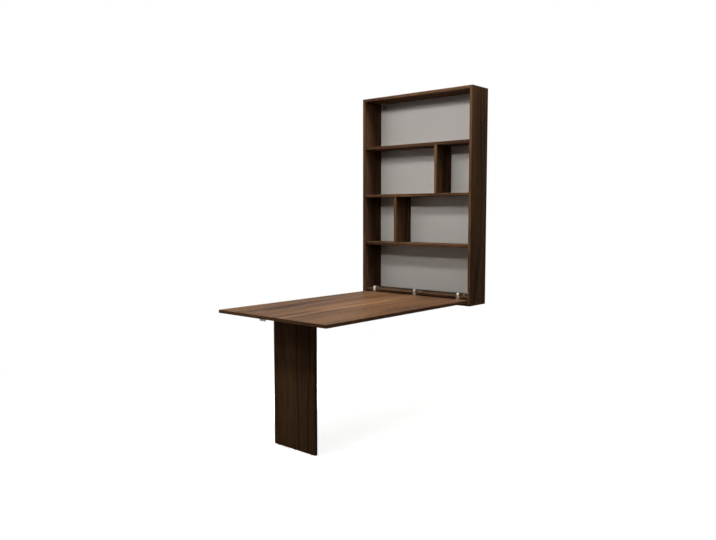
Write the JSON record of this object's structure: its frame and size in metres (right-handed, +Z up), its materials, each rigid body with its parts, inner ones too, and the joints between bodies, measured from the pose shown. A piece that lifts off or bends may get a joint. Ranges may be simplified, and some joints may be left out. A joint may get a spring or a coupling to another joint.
{
  "type": "wall mounted drop leaf table",
  "caption": "Shallow wall cabinet with open shelves whose front folds down into a dining table that stands on a folding board leg.",
  "frame": {"origin": "centre of the four wall screw holes, on the wall face; 1545.75 mm above the floor", "axes": "+X to the right seen from the room, +Y into the wall, +Z up"},
  "size_m": [0.87, 1.45, 2.074],
  "materials": {
    "walnut": "dark walnut decor, satin",
    "back_board": "light grey laminate, matt",
    "beech_dowel": "bare beech",
    "nickel": "bright nickel plate",
    "dull_nickel": "dull nickel plate",
    "bronzed_steel": "bronzed",
    "brown_lacquer": "brown lacquer",
    "zinc_screw": "zinc plated",
    "bracket_paint": "light grey powder coat",
    "catch_plastic": "dark brown, moulded",
    "magnet": "dark ferrite, matt",
    "buffer_rubber": "black, matt",
    "glide_plastic": "dark brown, moulded"
  },
  "bodies": {
    "cabinet": {"side_panel_left": "walnut", "side_panel_right": "walnut", "top_board": "walnut", "bottom_board": "walnut", "back_panel": "back_board", "inner_shelf": "walnut", "shelf_lower": "walnut", "shelf_middle": "walnut", "shelf_upper": "walnut", "divider_lower": "walnut", "divider_upper": "walnut", "panel_dowels": "beech_dowel", "divider_dowels": "beech_dowel", "back_panel_screws": "zinc_screw", "wall_bracket_upper_left": "bracket_paint", "wall_bracket_upper_right": "bracket_paint", "wall_bracket_lower_left": "bracket_paint", "wall_bracket_lower_right": "bracket_paint", "bracket_screws": "zinc_screw", "hinge_strap_left": "nickel", "hinge_strap_middle": "nickel", "hinge_strap_right": "nickel", "hinge_strap_screws": "zinc_screw", "catch_case_left": "catch_plastic", "catch_magnet_left": "magnet", "catch_case_right": "catch_plastic", "catch_magnet_right": "magnet"},
    "table": {"table_top": "walnut", "hinge_leaf_left": "bronzed_steel", "hinge_pin_left": "dull_nickel", "hinge_leaf_middle": "bronzed_steel", "hinge_pin_middle": "dull_nickel", "hinge_leaf_right": "bronzed_steel", "hinge_pin_right": "dull_nickel", "hinge_leaf_screws": "zinc_screw", "leg_hinge_table_leaf_left": "dull_nickel", "leg_hinge_pin_left": "dull_nickel", "leg_hinge_table_leaf_right": "dull_nickel", "leg_hinge_pin_right": "dull_nickel", "leg_hinge_table_screws": "zinc_screw", "leg_buffers": "buffer_rubber", "buffer_screws": "zinc_screw", "finger_pull": "dull_nickel", "finger_pull_screws": "zinc_screw", "strike_disc_left": "brown_lacquer", "strike_disc_right": "brown_lacquer", "strike_screws": "brown_lacquer"},
    "leg": {"leg_board": "walnut", "leg_hinge_leg_leaf_left": "dull_nickel", "leg_hinge_leg_leaf_right": "dull_nickel", "leg_hinge_leg_screws": "zinc_screw", "foot_glides": "glide_plastic"}
  },
  "joints": [
    {"name": "table_fold", "type": "hinge", "parent": "cabinet", "child": "table", "pos_m": [0, -0.165, -0.77675], "axis": [-1, 0, 0], "range_deg": [0, 90]},
    {"name": "leg_fold", "type": "hinge", "parent": "table", "child": "leg", "pos_m": [0, -1.247, -0.80775], "axis": [1, 0, 0], "range_deg": [0, 90]}
  ]
}
